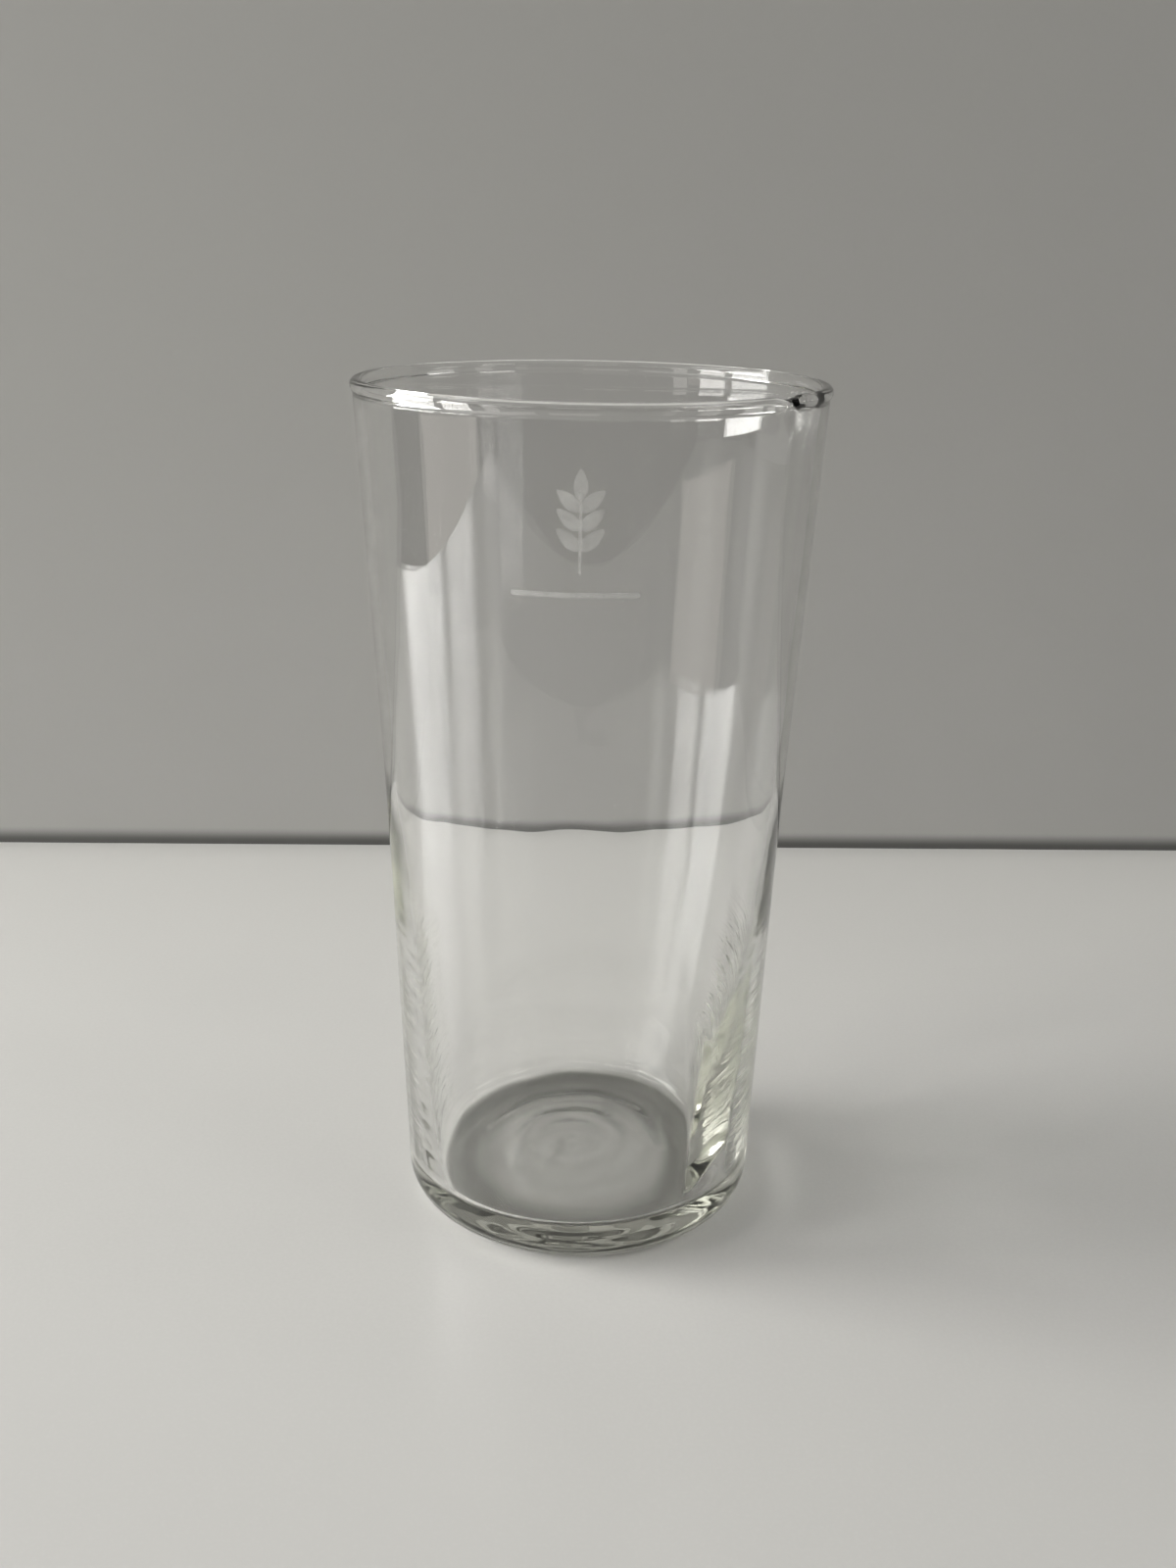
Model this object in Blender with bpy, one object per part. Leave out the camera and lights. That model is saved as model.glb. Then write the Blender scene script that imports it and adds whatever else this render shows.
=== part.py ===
# Stacking tumbler: one drinking glass, blown in a mould and modelled as a turned section.
# Lengths are in metres, +Z is up, and the origin is the middle of the ring it stands on.

import math

import bpy

# Outside of the glass
HEIGHT = 0.130
RIM_DIAMETER = 0.0689
SHOULDER_HEIGHT = 0.067
SHOULDER_DIAMETER = 0.0607
SHOULDER_BLEND = 0.006
FOOT_DIAMETER = 0.0552
HEEL_RADIUS = 0.0055

# Rim, melted round, and the hollow rounds that run it into the wall
BEAD_DIAMETER = 0.0020
NECK_BLEND = 0.0015

# Thickness of the glass, and how fast the wall thins from the floor up to where it is even
WALL = 0.0013
WALL_AT_FLOOR = 0.0049
EVEN_WALL_HEIGHT = 0.0705
THINNING = 1.40
FLOOR_THICKNESS = 0.0043
FLOOR_FILLET = 0.0028

# Underside
STANDING_RING_WIDTH = 0.0042
PUNT_DEPTH = 0.0012

# Facets
TURN_STEPS = 72
BEAD_STEPS = 12
NECK_STEPS = 2
WALL_STEPS = 18
HEEL_STEPS = 6
FILLET_STEPS = 5
PUNT_STEPS = 4
MERGE_DISTANCE = 0.00001

# Clear soda-lime glass with a faint green cast
GLASS_COLOUR = (0.90, 0.94, 0.88, 1.0)
GLASS_ROUGHNESS = 0.03
GLASS_IOR = 1.52

# Places that follow from the sizes above
bead_radius = BEAD_DIAMETER / 2
bead_centre_radius = RIM_DIAMETER / 2 - bead_radius
bead_centre_height = HEIGHT - bead_radius
floor_height = PUNT_DEPTH + FLOOR_THICKNESS
foot_radius = FOOT_DIAMETER / 2
shoulder_radius = SHOULDER_DIAMETER / 2
lower_taper = (shoulder_radius - foot_radius) / SHOULDER_HEIGHT
upper_rise = bead_centre_height - SHOULDER_HEIGHT
upper_taper = (bead_centre_radius + WALL / 2 - shoulder_radius) / upper_rise


def outer_radius(height):
    """Outside radius of the wall: two tapers that run together at the shoulder."""
    above = height - SHOULDER_HEIGHT
    straight = (upper_taper + lower_taper) / 2 * above
    bend = (upper_taper - lower_taper) / 2 * math.hypot(above, SHOULDER_BLEND)
    return shoulder_radius + straight + bend


def inner_radius(height):
    """Inside radius of the wall, which is thickest at the floor and thins upwards until it is even."""
    below = max(0.0, (EVEN_WALL_HEIGHT - height) / (EVEN_WALL_HEIGHT - floor_height))
    return outer_radius(height) - WALL - (WALL_AT_FLOOR - WALL) * below ** THINNING


def arc(centre_radius, centre_height, radius, start, end, steps):
    """Points of an arc from one angle to another, both measured from the +X direction."""
    points = []
    for step in range(steps + 1):
        angle = start + (end - start) * step / steps
        points.append((centre_radius + radius * math.cos(angle), centre_height + radius * math.sin(angle)))
    return points


def wall(radius_at, start, end):
    """Points between two heights on one side of the wall, without the two ends."""
    heights = [start + (end - start) * step / WALL_STEPS for step in range(1, WALL_STEPS)]
    return [(radius_at(height), height) for height in heights]


def floor_fillet():
    """The hollow round from the floor into the inside of the wall."""
    top = floor_height + FLOOR_FILLET
    lean = math.atan((inner_radius(top) - inner_radius(floor_height)) / FLOOR_FILLET)
    centre_radius = inner_radius(top) - FLOOR_FILLET / math.cos(lean)
    return arc(centre_radius, top, FLOOR_FILLET, -math.pi / 2, -lean, FILLET_STEPS)


def neck_round(radius_at, outward):
    """The hollow round between the bead and one side of the wall: its middle and its angle at the bead."""
    drop = bead_radius
    for settle in range(8):
        reach = radius_at(bead_centre_height - drop) + outward * NECK_BLEND - bead_centre_radius
        drop = math.sqrt((bead_radius + NECK_BLEND) ** 2 - reach ** 2)
    return bead_centre_radius + reach, bead_centre_height - drop, math.atan2(drop, -reach)


def rim_bead():
    """The round lip, centred on the wall, from its inner neck over the top to its outer neck."""
    inner_middle, inner_level, inner_touch = neck_round(inner_radius, -1)
    outer_middle, outer_level, outer_touch = neck_round(outer_radius, 1)
    inner_neck = arc(inner_middle, inner_level, NECK_BLEND, 0.0, inner_touch, NECK_STEPS)
    bead = arc(bead_centre_radius, bead_centre_height, bead_radius,
               inner_touch + math.pi, outer_touch - math.pi, BEAD_STEPS)
    outer_neck = arc(outer_middle, outer_level, NECK_BLEND, outer_touch, math.pi, NECK_STEPS)
    return inner_neck[:-1] + bead + outer_neck[1:]


def heel():
    """The round from the outside of the wall down to the standing ring."""
    lean = math.atan(lower_taper)
    wall_radius = foot_radius + lower_taper * HEEL_RADIUS
    centre_radius = wall_radius - HEEL_RADIUS / math.cos(lean)
    return arc(centre_radius, HEEL_RADIUS, HEEL_RADIUS, -lean, -math.pi / 2, HEEL_STEPS)


def punt(edge_radius):
    """The shallow dome under the base, from the inner edge of the standing ring to the axis."""
    dome_radius = (edge_radius ** 2 + PUNT_DEPTH ** 2) / (2 * PUNT_DEPTH)
    dome_centre_height = PUNT_DEPTH - dome_radius
    edge_angle = math.atan2(-dome_centre_height, edge_radius)
    points = arc(0.0, dome_centre_height, dome_radius, edge_angle, math.pi / 2, PUNT_STEPS)
    return points[:-1]


def section():
    """Half the section of the glass, from the middle of its floor to the middle of its underside."""
    fillet_points = floor_fillet()
    bead_points = rim_bead()
    heel_points = heel()
    ring_edge = heel_points[-1][0] - STANDING_RING_WIDTH
    points = [(0.0, floor_height)]
    points += fillet_points
    points += wall(inner_radius, fillet_points[-1][1], bead_points[0][1])
    points += bead_points
    points += wall(outer_radius, bead_points[-1][1], heel_points[0][1])
    points += heel_points
    points += punt(ring_edge)
    points.append((0.0, PUNT_DEPTH))
    return points


def clear_glass():
    """The one material of the tumbler."""
    material = bpy.data.materials.new("clear_glass")
    material.use_nodes = True
    shader = material.node_tree.nodes["Principled BSDF"]
    shader.inputs["Base Color"].default_value = GLASS_COLOUR
    shader.inputs["Metallic"].default_value = 0.0
    shader.inputs["Roughness"].default_value = GLASS_ROUGHNESS
    shader.inputs["IOR"].default_value = GLASS_IOR
    shader.inputs["Transmission Weight"].default_value = 1.0
    return material


def tumbler_body():
    """The whole glass: its section, turned once about the Z axis."""
    points = section()
    vertices = [(radius, 0.0, height) for radius, height in points]
    edges = [(index, index + 1) for index in range(len(points) - 1)]
    mesh = bpy.data.meshes.new("tumbler_body")
    mesh.from_pydata(vertices, edges, [])
    mesh.materials.append(clear_glass())
    body = bpy.data.objects.new("tumbler_body", mesh)
    bpy.context.scene.collection.objects.link(body)
    turn = body.modifiers.new("turn", "SCREW")
    turn.axis = "Z"
    turn.angle = math.tau
    turn.steps = TURN_STEPS
    turn.render_steps = TURN_STEPS
    turn.use_merge_vertices = True
    turn.merge_threshold = MERGE_DISTANCE
    turn.use_smooth_shade = True
    return body


for leftover in list(bpy.data.objects):
    bpy.data.objects.remove(leftover, do_unlink=True)

tumbler_body()
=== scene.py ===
# A clear stacking tumbler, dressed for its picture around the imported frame.
# Lengths are in metres and angles in degrees, +Z is up, and the glass stands on z = 0.

import math

import bpy
from mathutils import Matrix, Vector


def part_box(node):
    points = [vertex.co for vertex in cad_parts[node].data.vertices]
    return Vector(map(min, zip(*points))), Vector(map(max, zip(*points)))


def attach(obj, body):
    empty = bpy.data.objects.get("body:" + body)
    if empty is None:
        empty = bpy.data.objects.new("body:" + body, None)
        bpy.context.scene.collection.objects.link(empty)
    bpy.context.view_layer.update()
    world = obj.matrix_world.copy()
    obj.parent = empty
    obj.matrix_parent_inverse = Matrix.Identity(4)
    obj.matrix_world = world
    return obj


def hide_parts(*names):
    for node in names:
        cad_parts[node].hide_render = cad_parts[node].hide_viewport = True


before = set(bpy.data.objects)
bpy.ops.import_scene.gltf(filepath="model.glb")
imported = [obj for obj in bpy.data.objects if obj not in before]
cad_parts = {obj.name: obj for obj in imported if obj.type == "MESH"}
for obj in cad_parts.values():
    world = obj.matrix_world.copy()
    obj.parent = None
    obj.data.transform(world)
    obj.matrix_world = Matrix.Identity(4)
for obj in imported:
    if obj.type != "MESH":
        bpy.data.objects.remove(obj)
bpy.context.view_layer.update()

# The glass body
# One gob of clear soda-lime glass, blown in a mould: a thin wall in two tapers, a heavy base, a heel
# rounded where it left the mould, and a rim melted into a bead, pinched where the melt closed.
# The hollow sits a little off centre and its lower wall is faintly rippled, as blown glass is.

body_low, body_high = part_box("tumbler_body")
height = body_high.z
rim_radius = body_high.x
bead_radius = 0.0010
neck_blend = 0.0015
wall = 0.0013
wall_at_floor = 0.0049
thickening_height = 0.0705
thinning = 1.40
shoulder_height = 0.067
shoulder_radius = 0.03035
shoulder_blend = 0.006
foot_radius = 0.0276
heel_radius = 0.0055
floor_height = 0.0055
floor_fillet = 0.0021
floor_ring_depth = 0.00006
floor_ring_pitch = 0.0048
floor_ring_reach = 0.022
punt_depth = 0.0012
standing_ring = 0.0042
mould_ring_depth = 0.000005
mould_ring_pitch = 0.0027
hollow_shift = 0.0007
hollow_shift_reach = 0.045
heavy_side = 0.0012
heavy_side_start = 0.60
heavy_side_spread = 0.34
heavy_side_foot = 0.001
heavy_side_rise = 0.008
heavy_side_top = 0.044
heavy_side_fall = 0.030
chill_height = 0.053
rim_zone = 0.004
wrinkle_top = 0.050
wrinkle_full = 0.036
wrinkle_depth = 0.00026
rope_depth = 0.00080
strand_depth = 0.00045
heel_ripple_depth = 0.00001
drawn_line_depth = 0.000004
swirl_depth = 0.00001

bead_centre = Vector((rim_radius - bead_radius, 0, height - bead_radius))
lower_taper = (shoulder_radius - foot_radius) / shoulder_height
upper_taper = (bead_centre.x + wall / 2 - shoulder_radius) / (bead_centre.z - shoulder_height)


def outer_radius(level):
    """Outside radius of the wall: two tapers that run together at the shoulder."""
    above = level - shoulder_height
    straight = (upper_taper + lower_taper) / 2 * above
    bend = (upper_taper - lower_taper) / 2 * math.hypot(above, shoulder_blend)
    return shoulder_radius + straight + bend


def inner_radius(level):
    """Inside radius of the wall, which thickens from below the shoulder down to the floor."""
    below = max(0.0, (thickening_height - level) / (thickening_height - floor_height))
    return outer_radius(level) - wall - (wall_at_floor - wall) * below ** thinning


def floor_ring(radius):
    """Height of the soft rings that the blowing left on the floor, which fade at its edge."""
    fade = max(0.0, min(1.0, (floor_ring_reach - radius) / 0.004))
    wide = math.sin(math.tau * radius / floor_ring_pitch)
    narrow = math.sin(math.tau * radius / (0.61 * floor_ring_pitch))
    return floor_ring_depth * fade * (wide + 0.5 * narrow)


def arc(centre, radius, start, end, steps):
    """Points of an arc in the XZ plane between two angles from +X."""
    angles = [start + (end - start) * step / steps for step in range(steps + 1)]
    return [centre + radius * Vector((math.cos(a), 0, math.sin(a))) for a in angles]


def levels(start, end, spacing):
    """Heights between two ends, evenly spaced, without the ends."""
    steps = max(2, round(abs(end - start) / spacing))
    return [start + (end - start) * step / steps for step in range(1, steps)]


def neck_centre(radius_at, outward):
    """Middle of the hollow round that runs the bead into one side of the wall."""
    drop = bead_radius
    for settle in range(8):
        reach = radius_at(bead_centre.z - drop) + outward * neck_blend - bead_centre.x
        drop = math.sqrt((bead_radius + neck_blend) ** 2 - reach ** 2)
    return bead_centre + Vector((reach, 0, -drop))


def glass_section():
    """Half the section of the glass, from the middle of the floor round to the middle of the underside."""
    fillet_top = floor_height + floor_fillet
    fillet_lean = math.atan((inner_radius(fillet_top) - inner_radius(floor_height)) / floor_fillet)
    fillet_centre = Vector((inner_radius(fillet_top) - floor_fillet / math.cos(fillet_lean), 0, fillet_top))
    fillet = arc(fillet_centre, floor_fillet, -math.pi / 2, -fillet_lean, 10)

    inner_neck = neck_centre(inner_radius, -1)
    outer_neck = neck_centre(outer_radius, 1)
    inner_touch = math.atan2(bead_centre.z - inner_neck.z, bead_centre.x - inner_neck.x)
    outer_touch = math.atan2(bead_centre.z - outer_neck.z, bead_centre.x - outer_neck.x)
    bead = arc(inner_neck, neck_blend, 0, inner_touch, 4)
    bead += arc(bead_centre, bead_radius, inner_touch + math.pi, outer_touch - math.pi, 22)[1:]
    bead += arc(outer_neck, neck_blend, outer_touch, math.pi, 4)[1:]

    heel_lean = math.atan(lower_taper)
    heel_centre = Vector((foot_radius + lower_taper * heel_radius - heel_radius / math.cos(heel_lean),
                          0, heel_radius))
    heel = arc(heel_centre, heel_radius, -heel_lean, -math.pi / 2, 18)
    punt_edge = heel[-1].x - standing_ring
    dome_radius = (punt_edge ** 2 + punt_depth ** 2) / (2 * punt_depth)
    dome_centre = Vector((0, 0, punt_depth - dome_radius))
    punt = arc(dome_centre, dome_radius, math.atan2(-dome_centre.z, punt_edge), math.pi / 2, 30)
    for point in punt[1:-1]:
        point.z += mould_ring_depth * math.sin(math.tau * point.x / mould_ring_pitch)

    points = [Vector((0, 0, floor_height))]
    for radius in levels(0, fillet[0].x, 0.0006):
        points.append(Vector((radius, 0, floor_height + floor_ring(radius))))
    points += fillet
    for level in levels(fillet[-1].z, shoulder_height, 0.0005):
        points.append(Vector((inner_radius(level), 0, level)))
    for level in [shoulder_height] + levels(shoulder_height, bead[0].z, 0.003):
        points.append(Vector((inner_radius(level), 0, level)))
    points += bead
    for level in levels(bead[-1].z, heel[0].z, 0.003):
        points.append(Vector((outer_radius(level), 0, level)))
    return points + heel + punt[:-1] + [Vector((0, 0, punt_depth))]


# Turning the section: fine steps over the pinch in the bead, and wider ones elsewhere.
pinch_start = 46.2
pinch_end = 66.6
turns = [(270 + pinch_start, 236), (pinch_end - pinch_start, 54), (90 - pinch_end, 16)]
section = glass_section()

bpy.ops.object.select_all(action="DESELECT")
bpy.ops.mesh.primitive_plane_add(size=bead_radius, location=(0, 0, 0))
glass = bpy.context.object
glass.name = "tumbler_glass"
bpy.ops.object.mode_set(mode="EDIT")
bpy.ops.mesh.select_mode(type="VERT")
bpy.ops.mesh.select_all(action="SELECT")
bpy.ops.mesh.merge(type="CENTER")
bpy.ops.transform.translate(value=section[0])
for here, there in zip(section, section[1:]):
    bpy.ops.mesh.extrude_vertices_move(TRANSFORM_OT_translate={"value": there - here})
bpy.ops.mesh.select_all(action="SELECT")
for angle, steps in turns:
    bpy.ops.mesh.spin(steps=steps, angle=math.radians(angle), center=(0, 0, 0), axis=(0, 0, 1))
bpy.ops.mesh.select_all(action="SELECT")
bpy.ops.mesh.remove_doubles(threshold=0.000002)
bpy.ops.mesh.normals_make_consistent(inside=False)
bpy.ops.mesh.select_all(action="DESELECT")
bpy.ops.object.mode_set(mode="OBJECT")
bpy.ops.object.shade_smooth()


def is_inside(vertex):
    """True on the inside of the glass, floor and wall, below the bead."""
    level = vertex.co.z
    if level > height - rim_zone or level < floor_height - 0.0005:
        return False
    return math.hypot(vertex.co.x, vertex.co.y) < outer_radius(level) - wall / 2


def is_outside(vertex):
    """True on the outside of the wall, between the heel and the bead."""
    level = vertex.co.z
    if level > height - rim_zone or level < heel_radius:
        return False
    return math.hypot(vertex.co.x, vertex.co.y) > outer_radius(level) - wall / 2


# The hollow leans to one side, most at the floor.
for vertex in glass.data.vertices:
    vertex.select = is_inside(vertex) and vertex.co.z < floor_height + floor_fillet / 2
bpy.ops.object.mode_set(mode="EDIT")
bpy.ops.transform.translate(value=(-hollow_shift, 0, 0), use_proportional_edit=True,
                            use_proportional_connected=True, proportional_edit_falloff="SMOOTH",
                            proportional_size=hollow_shift_reach)
bpy.ops.object.mode_set(mode="OBJECT")

# One side of the wall is heavier low down, where the glass sagged before it set.
for vertex in glass.data.vertices:
    if is_inside(vertex):
        level = vertex.co.z
        side = (vertex.co.x / inner_radius(level) - heavy_side_start) / heavy_side_spread
        rise = (level - floor_height - heavy_side_foot) / heavy_side_rise
        fall = (heavy_side_top - level) / heavy_side_fall
        share = min(1.0, side, rise, fall)
        if share > 0:
            vertex.co.x -= heavy_side * share * share * (3 - 2 * share)

# The pinch in the bead: how thick the bead is, as a share, at places counted from the camera's side.
pinch = [(46.4, 1.0), (48.0, 0.74), (50.6, 0.58), (53.3, 0.82), (54.2, 0.52), (55.1, 1.0), (59.0, 1.08),
         (64.4, 0.86), (66.4, 1.0)]


def bead_share(azimuth):
    """Thickness of the bead at one azimuth, eased between the places given."""
    for (before, low), (after, high) in zip(pinch, pinch[1:]):
        if before <= azimuth <= after:
            ease = (1 - math.cos(math.pi * (azimuth - before) / (after - before))) / 2
            return low + (high - low) * ease
    return 1.0


for vertex in glass.data.vertices:
    rise = (vertex.co.z - bead_centre.z + 1.2 * bead_radius) / bead_radius
    azimuth = math.degrees(math.atan2(vertex.co.x, -vertex.co.y))
    if rise > 0 and pinch_start < azimuth < pinch_end:
        share = 1 + (bead_share(azimuth) - 1) * min(1.0, rise)
        core = Vector((vertex.co.x, vertex.co.y, 0)).normalized() * bead_centre.x
        core.z = bead_centre.z
        vertex.co = core + (vertex.co - core) * share


def waver(name, where, size, depth, tall, seed):
    """Lets a stretch of the surface waver by a soft noise of one size, stretched upwards or flattened."""
    group = glass.vertex_groups.new(name=name)
    for vertex in glass.data.vertices:
        weight = where(vertex)
        if weight > 0:
            group.add([vertex.index], weight, "REPLACE")
    cloud = bpy.data.textures.new(name, type="CLOUDS")
    cloud.noise_scale = size
    cloud.noise_depth = 1
    bpy.ops.object.empty_add(location=(seed, seed, seed))
    guide = bpy.context.object
    guide.scale = (1, 1, tall)
    bpy.context.view_layer.objects.active = glass
    glass.select_set(True)
    push = glass.modifiers.new(name, "DISPLACE")
    push.texture = cloud
    push.texture_coords = "OBJECT"
    push.texture_coords_object = guide
    push.vertex_group = name
    push.mid_level = 0.5
    push.strength = depth
    bpy.context.view_layer.update()
    bpy.ops.object.modifier_apply(modifier=name)
    bpy.data.objects.remove(guide, do_unlink=True)


def inside_wall(vertex):
    """Fades in over the first millimetres above the floor and out again below the bead."""
    if not is_inside(vertex):
        return 0.0
    rise = (vertex.co.z - floor_height) / 0.004
    fall = (height - 0.006 - vertex.co.z) / 0.010
    return max(0.0, min(1.0, rise, fall))


def chilled_sides(vertex):
    """The lower inside wall at the two sides, where the glass set first."""
    fade = (chill_height - vertex.co.z) / 0.020
    side = (abs(vertex.co.x) / inner_radius(vertex.co.z) - 0.80) / 0.15
    return max(0.0, min(inside_wall(vertex), fade, side))


def crumpled_side(vertex):
    """The lower inside wall at the back on one side, where the glass wrinkled as it set."""
    fade = (0.034 - vertex.co.z) / 0.012
    side = (vertex.co.x / inner_radius(vertex.co.z) - 0.45) / 0.2
    back = (vertex.co.y + 0.004) / 0.006
    return max(0.0, min(inside_wall(vertex), fade, side, back))


def outside_wall(vertex):
    """Fades in above the heel and out again below the bead."""
    if not is_outside(vertex):
        return 0.0
    rise = (vertex.co.z - heel_radius) / 0.006
    fall = (height - 0.006 - vertex.co.z) / 0.010
    return max(0.0, min(1.0, rise, fall))


def inside_floor(vertex):
    """The floor of the hollow, without its rounded edge."""
    return 1.0 if is_inside(vertex) and vertex.co.z < floor_height + 0.0005 else 0.0


def underside(vertex):
    """The standing ring, the punt and the lower part of the heel."""
    return 1.0 if vertex.co.z < floor_height - 0.001 else 0.0


waver("wall_waver", inside_wall, 0.011, 0.00007, 1.0, 0.37)
waver("chill_waver", chilled_sides, 0.0045, 0.00012, 0.35, 0.71)
waver("crumple_waver", crumpled_side, 0.007, 0.00025, 1.0, 0.19)
waver("mould_waver", outside_wall, 0.014, 0.000012, 2.5, 0.53)
waver("drawn_lines", outside_wall, 0.003, 0.000006, 14.0, 0.47)
waver("floor_waver", inside_floor, 0.005, 0.000025, 1.0, 0.13)
waver("foot_waver", underside, 0.004, 0.000008, 1.0, 0.29)


class Finish:
    """One socket of a material's nodes, so that shader maths reads as an expression."""

    def __init__(self, tree, socket=None):
        self.tree = tree
        self.socket = socket

    def node(self, kind, settings=None, sockets=None, output=0):
        """Adds a node: its settings first, then the values or links of its sockets."""
        made = self.tree.nodes.new(kind)
        for name, value in (settings or {}).items():
            setattr(made, name, value)
        for name, value in (sockets or {}).items():
            if isinstance(value, Finish):
                self.tree.links.new(value.socket, made.inputs[name])
            else:
                made.inputs[name].default_value = value
        return Finish(self.tree, made.outputs[output] if made.outputs else None)

    def maths(self, operation, first, second):
        return self.node("ShaderNodeMath", {"operation": operation}, {0: first, 1: second})

    def __add__(self, other):
        return self.maths("ADD", self, other)

    def __radd__(self, other):
        return self.maths("ADD", other, self)

    def __sub__(self, other):
        return self.maths("SUBTRACT", self, other)

    def __rsub__(self, other):
        return self.maths("SUBTRACT", other, self)

    def __mul__(self, other):
        return self.maths("MULTIPLY", self, other)

    def __rmul__(self, other):
        return self.maths("MULTIPLY", other, self)

    def between(self, low, high):
        """How far this value has gone from one level to another, from 0 to 1, eased at both ends."""
        return self.node("ShaderNodeMapRange", {"interpolation_type": "SMOOTHSTEP"},
                         {"Value": self, "From Min": low, "From Max": high})

    def blend(self, first, second):
        """A colour between two, by this value."""
        return self.node("ShaderNodeMix", {"data_type": "RGBA"}, {0: self, 6: first, 7: second}, output=2)


def new_finish(name):
    """An empty material and a handle on its nodes."""
    material = bpy.data.materials.new(name)
    material.use_nodes = True
    material.node_tree.nodes.clear()
    return material, Finish(material.node_tree)


def clear_glass():
    """Clear glass with handling film, scuffs and painted shade where it stands, and wrinkles low on the
    inside.
    """
    material, finish = new_finish("clear_glass")
    place = finish.node("ShaderNodeTexCoord", output=3)
    across = finish.node("ShaderNodeSeparateXYZ", {}, {0: place}, output=0)
    depth = finish.node("ShaderNodeSeparateXYZ", {}, {0: place}, output=1)
    level = finish.node("ShaderNodeSeparateXYZ", {}, {0: place}, output=2)
    radius = finish.maths("POWER", across * across + depth * depth, 0.5)
    film = finish.node("ShaderNodeTexNoise", {}, {"Vector": place, "Scale": 55.0, "Detail": 4.0})
    speck = finish.node("ShaderNodeTexNoise", {}, {"Vector": place, "Scale": 1400.0, "Detail": 2.0})
    swirl = finish.node("ShaderNodeTexWave", {"wave_type": "RINGS", "rings_direction": "Z"}, {
        "Vector": place,
        "Scale": 60.0,
        "Distortion": 5.0,
        "Detail": 3.0,
        "Detail Scale": 1.5,
    })
    film = film.between(0.52, 0.78)
    stands = level.between(0.0006, 0.00005)
    scuff = speck.between(0.60, 0.72) * stands
    base = level.between(floor_height + 0.0006, floor_height + 0.0002)
    # Painted shade: the glass colour darkens on the standing ring in place of the shadowed table under the
    # heel; swirls darken the floor a little.
    swirl_and_painted_shade = 0.15 * swirl * base + 0.85 * stands

    # Wrinkles where the lower sides were chilled by the mould, coarser on the right, finer on the left.
    flat = finish.node("ShaderNodeMapping", {}, {"Vector": place, "Scale": (1.0, 1.0, 5.0)})
    ripple = finish.node("ShaderNodeTexNoise", {},
                         {"Vector": flat, "Scale": 170.0, "Detail": 5.0, "Roughness": 0.62})
    rope = finish.node("ShaderNodeTexNoise", {}, {"Vector": flat, "Scale": 125.0, "Detail": 2.0})
    strand = finish.node("ShaderNodeTexNoise", {}, {"Vector": flat, "Scale": 150.0, "Detail": 2.0})
    inside = (radius - lower_taper * level).between(foot_radius - 0.0004, foot_radius - 0.0010)
    aside = finish.maths("DIVIDE", across * across, radius * radius)
    sides = aside.between(0.80, 0.92) * level.between(wrinkle_top, wrinkle_full) * inside
    sides = sides * level.between(floor_height + 0.001, floor_height + 0.003)
    roped = sides * across.between(0.0, 0.002)
    stranded = sides * across.between(0.0, -0.002) * aside.between(0.93, 0.985)
    relief = wrinkle_depth * ripple * sides + rope_depth * rope * roped + strand_depth * strand * stranded

    # A faint ripple round the heel, fine upright lines drawn down the wall, and rings in the base.
    upright = finish.node("ShaderNodeMapping", {}, {"Vector": place, "Scale": (1.0, 1.0, 0.03)})
    line = finish.node("ShaderNodeTexNoise", {}, {"Vector": upright, "Scale": 420.0, "Detail": 2.0})
    heel = level.between(heel_radius + 0.002, heel_radius)
    wall_only = level.between(heel_radius, heel_radius + 0.004)
    wall_only = wall_only * level.between(height - rim_zone, height - 2 * rim_zone)
    relief = relief + heel_ripple_depth * ripple * heel
    relief = relief + drawn_line_depth * line * wall_only + swirl_depth * swirl * base
    grain = finish.node("ShaderNodeBump", {}, {"Height": relief, "Distance": 1.0})
    surface = finish.node("ShaderNodeBsdfPrincipled", {}, {
        "Base Color": swirl_and_painted_shade.blend((1.0, 1.0, 1.0, 1.0), (0.40, 0.40, 0.38, 1.0)),
        "Roughness": 0.05 * film + 0.20 * scuff,
        "Normal": grain,
        "IOR": 1.52,
        "Transmission Weight": 1.0,
    })
    tint = finish.node("ShaderNodeVolumeAbsorption", {},
                       {"Color": (0.30, 0.315, 0.20, 1.0), "Density": 15.0})
    finish.node("ShaderNodeOutputMaterial", {}, {"Surface": surface, "Volume": tint})
    return material


glass.data.materials.clear()
glass.data.materials.append(clear_glass())
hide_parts("tumbler_body")
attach(glass, "root")

# The frosted sprig
# A plain sprig over a plain line, etched a few hundredths of a millimetre into the front of the wall.
# It is modelled as a thin skin on the glass, so that it frosts what is seen through it.

sprig_centre = Vector((-0.0011, 0, 0.1135))
sprig_height = 0.0108
leaf_length = 0.0042
leaf_width = 0.0019
leaf_spread = 48
leaf_levels = [-0.0022, 0.0004, 0.0028]
top_leaf_overlap = 0.0012
stem_width = 0.00045
line_centre = Vector((-0.0016, 0, 0.1054))
line_length = 0.0168
line_width = 0.0007
etch_lift = 0.00003
etch_skin = 0.00001


def etched_leaf(root, turn, length, width):
    """One pointed leaf in the XZ plane, from its root along a direction turned from upright."""
    bpy.ops.mesh.primitive_grid_add(x_subdivisions=5, y_subdivisions=12, size=1, location=(0, 0, 0))
    leaf = bpy.context.object
    for vertex in leaf.data.vertices:
        along = vertex.co.y + 0.5
        swell = math.sin(math.pi * along ** 0.8) ** 0.8 if 0 < along < 1 else 0.0
        vertex.co = Vector((vertex.co.x * width * swell, 0, along * length))
    leaf.matrix_world = Matrix.Translation(root) @ Matrix.Rotation(math.radians(turn), 4, "Y")
    bpy.ops.object.transform_apply(location=True, rotation=True, scale=True)
    bpy.ops.object.mode_set(mode="EDIT")
    bpy.ops.mesh.select_all(action="SELECT")
    bpy.ops.mesh.remove_doubles(threshold=0.000001)
    bpy.ops.object.mode_set(mode="OBJECT")
    return leaf


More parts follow.
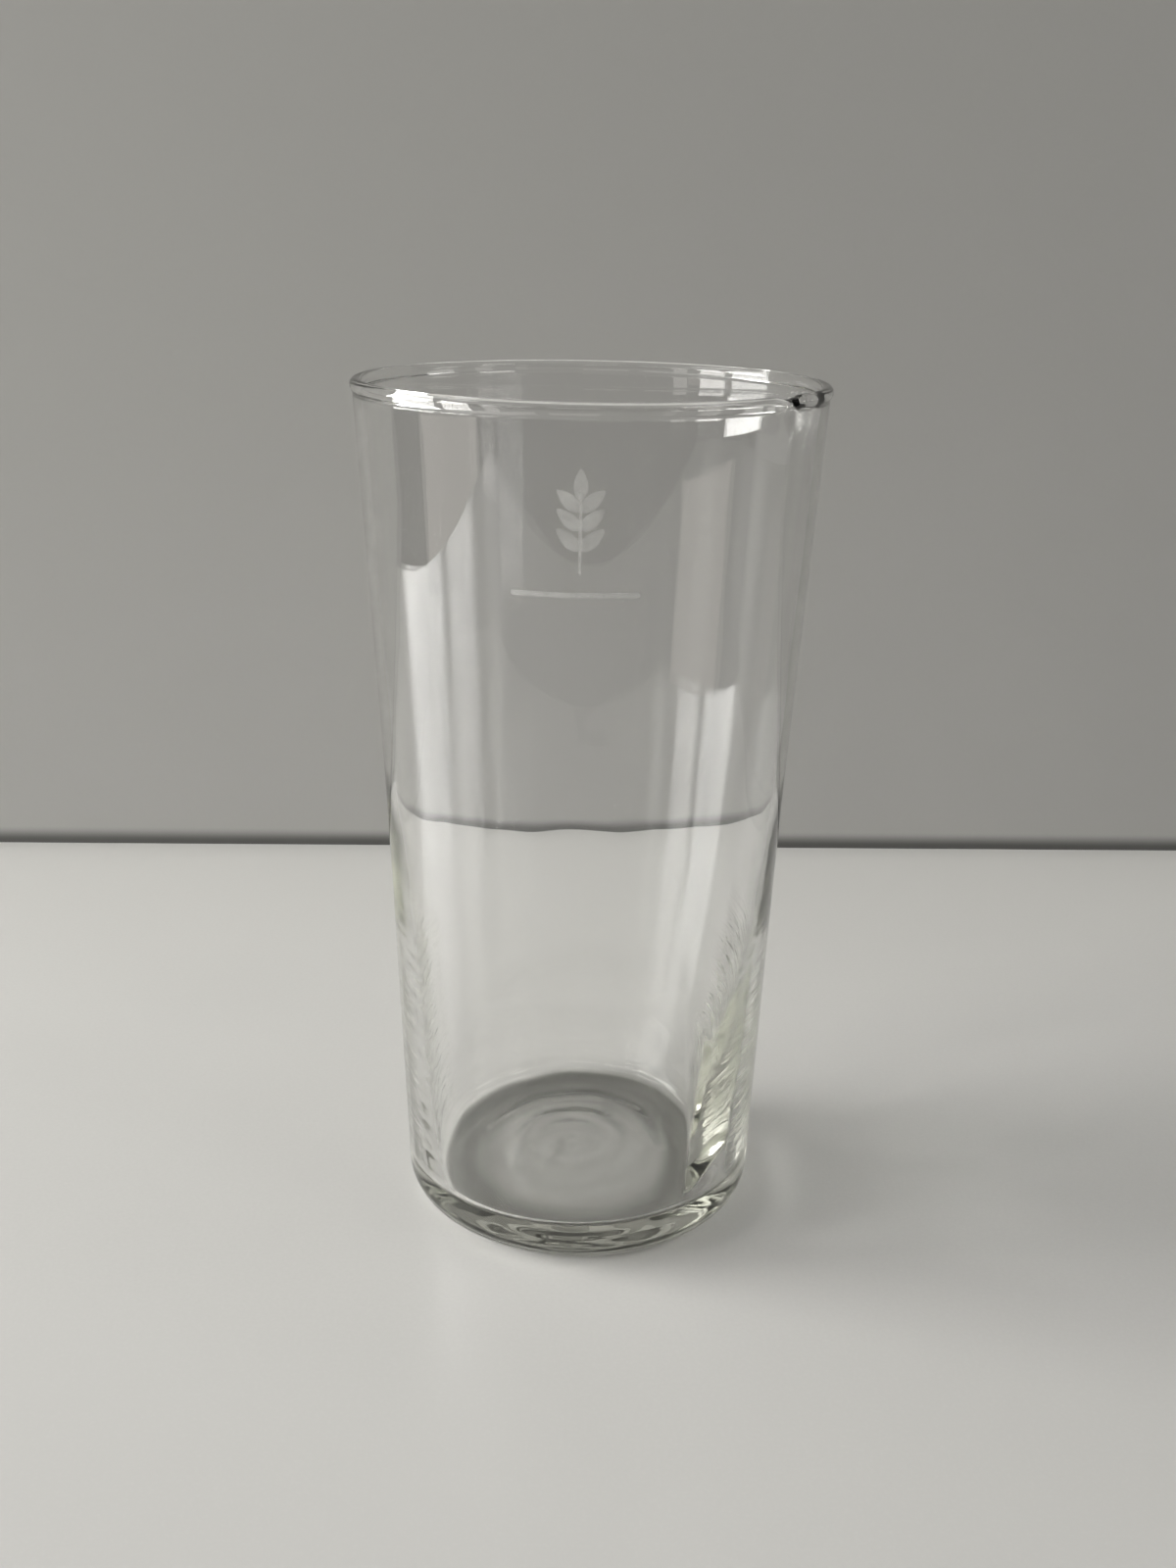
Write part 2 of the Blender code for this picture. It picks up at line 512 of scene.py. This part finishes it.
def etched_bar(centre, across, tall):
    """A plain bar in the XZ plane, cut fine enough to follow the wall."""
    bpy.ops.mesh.primitive_grid_add(x_subdivisions=24, y_subdivisions=12, size=1, location=(0, 0, 0))
    bar = bpy.context.object
    for vertex in bar.data.vertices:
        vertex.co = centre + Vector((vertex.co.x * across, 0, vertex.co.y * tall))
    return bar


bpy.ops.object.select_all(action="DESELECT")
etched = [etched_bar(sprig_centre, stem_width, sprig_height)]
etched.append(etched_bar(line_centre, line_length, line_width))
for rise in leaf_levels:
    for turn in (-leaf_spread, leaf_spread):
        etched.append(etched_leaf(sprig_centre + Vector((0, 0, rise)), turn, leaf_length, leaf_width))
top_leaf_root = sprig_centre + Vector((0, 0, sprig_height / 2 - top_leaf_overlap))
etched.append(etched_leaf(top_leaf_root, 0, leaf_length, leaf_width))
bpy.ops.object.select_all(action="DESELECT")
for part in etched:
    part.select_set(True)
bpy.context.view_layer.objects.active = etched[0]
bpy.ops.object.join()
sprig = bpy.context.object
sprig.name = "frosted_sprig"
for vertex in sprig.data.vertices:
    away = math.sqrt((outer_radius(vertex.co.z) + etch_lift) ** 2 - vertex.co.x ** 2)
    vertex.co.y = -away
skin = sprig.modifiers.new("skin", "SOLIDIFY")
skin.thickness = etch_skin
bpy.ops.object.modifier_apply(modifier="skin")
bpy.ops.object.mode_set(mode="EDIT")
bpy.ops.mesh.select_all(action="SELECT")
bpy.ops.mesh.normals_make_consistent(inside=False)
bpy.ops.object.mode_set(mode="OBJECT")


def frosted_etch():
    """Fine pale frosting, thinner where years of washing have worn it."""
    material, finish = new_finish("frosted_etch")
    place = finish.node("ShaderNodeTexCoord", output=3)
    wear = finish.node("ShaderNodeTexNoise", {}, {"Vector": place, "Scale": 420.0, "Detail": 3.0})
    wear = wear.between(0.35, 0.65)
    grain = finish.node("ShaderNodeTexNoise", {}, {"Vector": place, "Scale": 5200.0, "Detail": 1.0})
    grain = grain.between(0.3, 0.7)
    surface = finish.node("ShaderNodeBsdfPrincipled", {}, {
        "Base Color": grain.blend((0.80, 0.80, 0.78, 1.0), (0.92, 0.92, 0.90, 1.0)),
        "Roughness": 0.55 + 0.2 * grain,
        "Alpha": 0.10 + 0.09 * wear + 0.04 * grain,
    })
    finish.node("ShaderNodeOutputMaterial", {}, {"Surface": surface})
    return material


sprig.data.materials.clear()
sprig.data.materials.append(frosted_etch())
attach(sprig, "root")

# The table and the backdrop
# A pale laminate table with a soft gloss, and a grey board standing behind it with a dark strip of painted
# shade along its foot.

backdrop_distance = 0.1543
backdrop_turn = 1.69
painted_gap_shade = 0.0027
painted_gap_shade_softness = 0.0019


def pale_laminate():
    """Pale laminate with a fine grain, and painted light that makes it paler away from the camera."""
    material, finish = new_finish("pale_laminate")
    place = finish.node("ShaderNodeTexCoord", output=3)
    depth = finish.node("ShaderNodeSeparateXYZ", {}, {0: place}, output=1)
    cloud = finish.node("ShaderNodeTexNoise", {}, {"Vector": place, "Scale": 9.0, "Detail": 3.0})
    grain = finish.node("ShaderNodeTexNoise", {}, {"Vector": place, "Scale": 1600.0, "Detail": 2.0})
    # Painted light: the laminate turns paler towards the backdrop, with its cloud and grain laid on top.
    painted_light_and_grain = depth.between(-0.06, 0.14) + 0.10 * (cloud - 0.5) + 0.30 * (grain - 0.5)
    surface = finish.node("ShaderNodeBsdfPrincipled", {}, {
        "Base Color": painted_light_and_grain.blend((0.655, 0.652, 0.635, 1), (0.80, 0.797, 0.775, 1)),
        "Roughness": 0.20 + 0.05 * cloud,
    })
    finish.node("ShaderNodeOutputMaterial", {}, {"Surface": surface})
    return material


bpy.ops.mesh.primitive_plane_add(size=1, location=(0.10, 0.015, -0.00005))
table = bpy.context.object
table.name = "table"
table.scale = (1.0, 0.77, 1)
bpy.ops.object.transform_apply(location=True, rotation=True, scale=True)
table.data.materials.append(pale_laminate())


def grey_board():
    """Grey board that only shows from the front, with shade painted in where it nears the table."""
    material, finish = new_finish("grey_board")
    place = finish.node("ShaderNodeTexCoord", output=3)
    level = finish.node("ShaderNodeSeparateXYZ", {}, {0: place}, output=2)
    grain = finish.node("ShaderNodeTexNoise", {}, {"Vector": place, "Scale": 1100.0, "Detail": 2.0})
    # Painted shade: the board darkens to near black over its lowest few millimetres, where it meets the
    # table.
    lit = level.between(painted_gap_shade - painted_gap_shade_softness, painted_gap_shade + painted_gap_shade_softness) * (0.97 + 0.06 * grain)
    surface = finish.node("ShaderNodeBsdfPrincipled", {}, {
        "Base Color": lit.blend((0.09, 0.09, 0.086, 1), (0.395, 0.393, 0.378, 1)),
        "Roughness": 0.65 + 0.1 * grain,
    })
    clear = finish.node("ShaderNodeBsdfTransparent")
    behind = finish.node("ShaderNodeNewGeometry", output=6)
    both = finish.node("ShaderNodeMixShader", {}, {0: behind, 1: surface, 2: clear})
    finish.node("ShaderNodeOutputMaterial", {}, {"Surface": both})
    return material


bpy.ops.mesh.primitive_plane_add(size=1, location=(0, 0, 0), rotation=(math.pi / 2, 0, 0))
backdrop = bpy.context.object
backdrop.name = "backdrop"
backdrop.scale = (1.0, 0.3, 1)
bpy.ops.object.transform_apply(location=True, rotation=True, scale=True)
backdrop.matrix_world = (Matrix.Translation((0, backdrop_distance, 0.15))
                         @ Matrix.Rotation(math.radians(backdrop_turn), 4, "Z"))
bpy.ops.object.transform_apply(location=True, rotation=True, scale=True)
backdrop.data.materials.append(grey_board())

# The light
# A room with a bright window on the left between narrower panes, dimmer windows on the right, and
# skylights above. The floor glows softly below the table's edges, and the wall of the glass mirrors it.


def window(name, bearing, distance, level, width, tall, power, colour):
    """A rectangle of light that faces the glass, at a bearing from the camera's side to the left."""
    turn = math.radians(bearing)
    place = Vector((-math.sin(turn) * distance, -math.cos(turn) * distance, level))
    bpy.ops.object.light_add(type="AREA", location=place)
    lamp = bpy.context.object
    lamp.name = name
    lamp.data.shape = "RECTANGLE"
    lamp.data.size = width
    lamp.data.size_y = tall
    lamp.data.energy = power
    lamp.data.color = colour
    lamp.rotation_euler = (Vector((0, 0, level)) - place).to_track_quat("-Z", "Y").to_euler()
    return lamp


window("left_window", 95, 1.5, 0.46, 0.85, 0.72, 38.0, (1.0, 0.99, 0.965))
window("front_left_pane", 67, 1.5, 0.45, 0.40, 0.50, 8.0, (1.0, 0.98, 0.95))
window("front_left_slit", 48, 1.5, 0.45, 0.20, 0.50, 0.9, (1.0, 0.98, 0.95))
window("back_left_slit", 131, 1.5, 0.45, 0.20, 0.50, 2.0, (1.0, 0.98, 0.95))
window("left_skylight", 95, 1.5, 2.0, 1.3, 0.9, 12.0, (1.0, 0.99, 0.965))
window("front_left_skylight", 54, 2.0, 1.3, 2.0, 0.9, 10.0, (1.0, 0.99, 0.965))
window("right_window", -86, 2.0, 0.75, 0.60, 0.80, 4.0, (1.0, 0.985, 0.95))
window("right_pane", -59, 2.0, 0.75, 0.35, 0.80, 1.7, (1.0, 0.985, 0.95))
window("right_slit", -38, 2.0, 0.75, 0.20, 0.80, 0.5, (1.0, 0.985, 0.95))
window("right_skylight", -60, 1.5, 1.5, 0.60, 0.40, 3.0, (1.0, 0.985, 0.95))
window("room_fill", 8, 2.0, 1.2, 0.90, 0.60, 3.0, (1.0, 0.985, 0.95))
window("left_floor_glow", 70.5, 0.9, -0.27, 0.53, 0.70, 1.35, (1.0, 0.93, 0.87))
window("right_floor_glow", -118, 0.8, -0.17, 1.10, 0.30, 0.42, (1.0, 0.985, 0.95))

world = bpy.context.scene.world or bpy.data.worlds.new("room")
bpy.context.scene.world = world
world.use_nodes = True
world.node_tree.nodes.clear()
room = Finish(world.node_tree)
upwards = room.node("ShaderNodeSeparateXYZ", {}, {0: room.node("ShaderNodeTexCoord", output=0)}, output=2)
light = 0.03 + 0.06 * upwards.between(0.35, 0.90)
shade = room.node("ShaderNodeBackground", {}, {"Color": (1.0, 0.985, 0.955, 1), "Strength": light})
room.node("ShaderNodeOutputWorld", {}, {"Surface": shade})

# The camera
# A hand-held camera a quarter of a metre away, a little above the rim.

camera_distance = 0.24486
camera_height = 0.15118
camera_pitch = 18.602
camera_roll = 1.049
camera_yaw = 0.128
focal_length = 38.344

bpy.ops.object.camera_add(location=(0, -camera_distance, camera_height))
camera = bpy.context.object
camera.data.lens = focal_length
camera.data.sensor_width = 36
camera.data.clip_start = 0.01
camera.matrix_world = (Matrix.Translation((0, -camera_distance, camera_height))
                       @ Matrix.Rotation(-math.radians(camera_yaw), 4, "Z")
                       @ Matrix.Rotation(math.radians(90 - camera_pitch), 4, "X")
                       @ Matrix.Rotation(math.radians(camera_roll), 4, "Z"))
bpy.context.scene.camera = camera
bpy.context.scene.view_settings.view_transform = "Standard"

# Light passes through many faces of the glass, so it is followed far and mirrored without blur.
bpy.context.scene.cycles.blur_glossy = 0.0
bpy.context.scene.cycles.max_bounces = 40
bpy.context.scene.cycles.glossy_bounces = 32
bpy.context.scene.cycles.transmission_bounces = 32
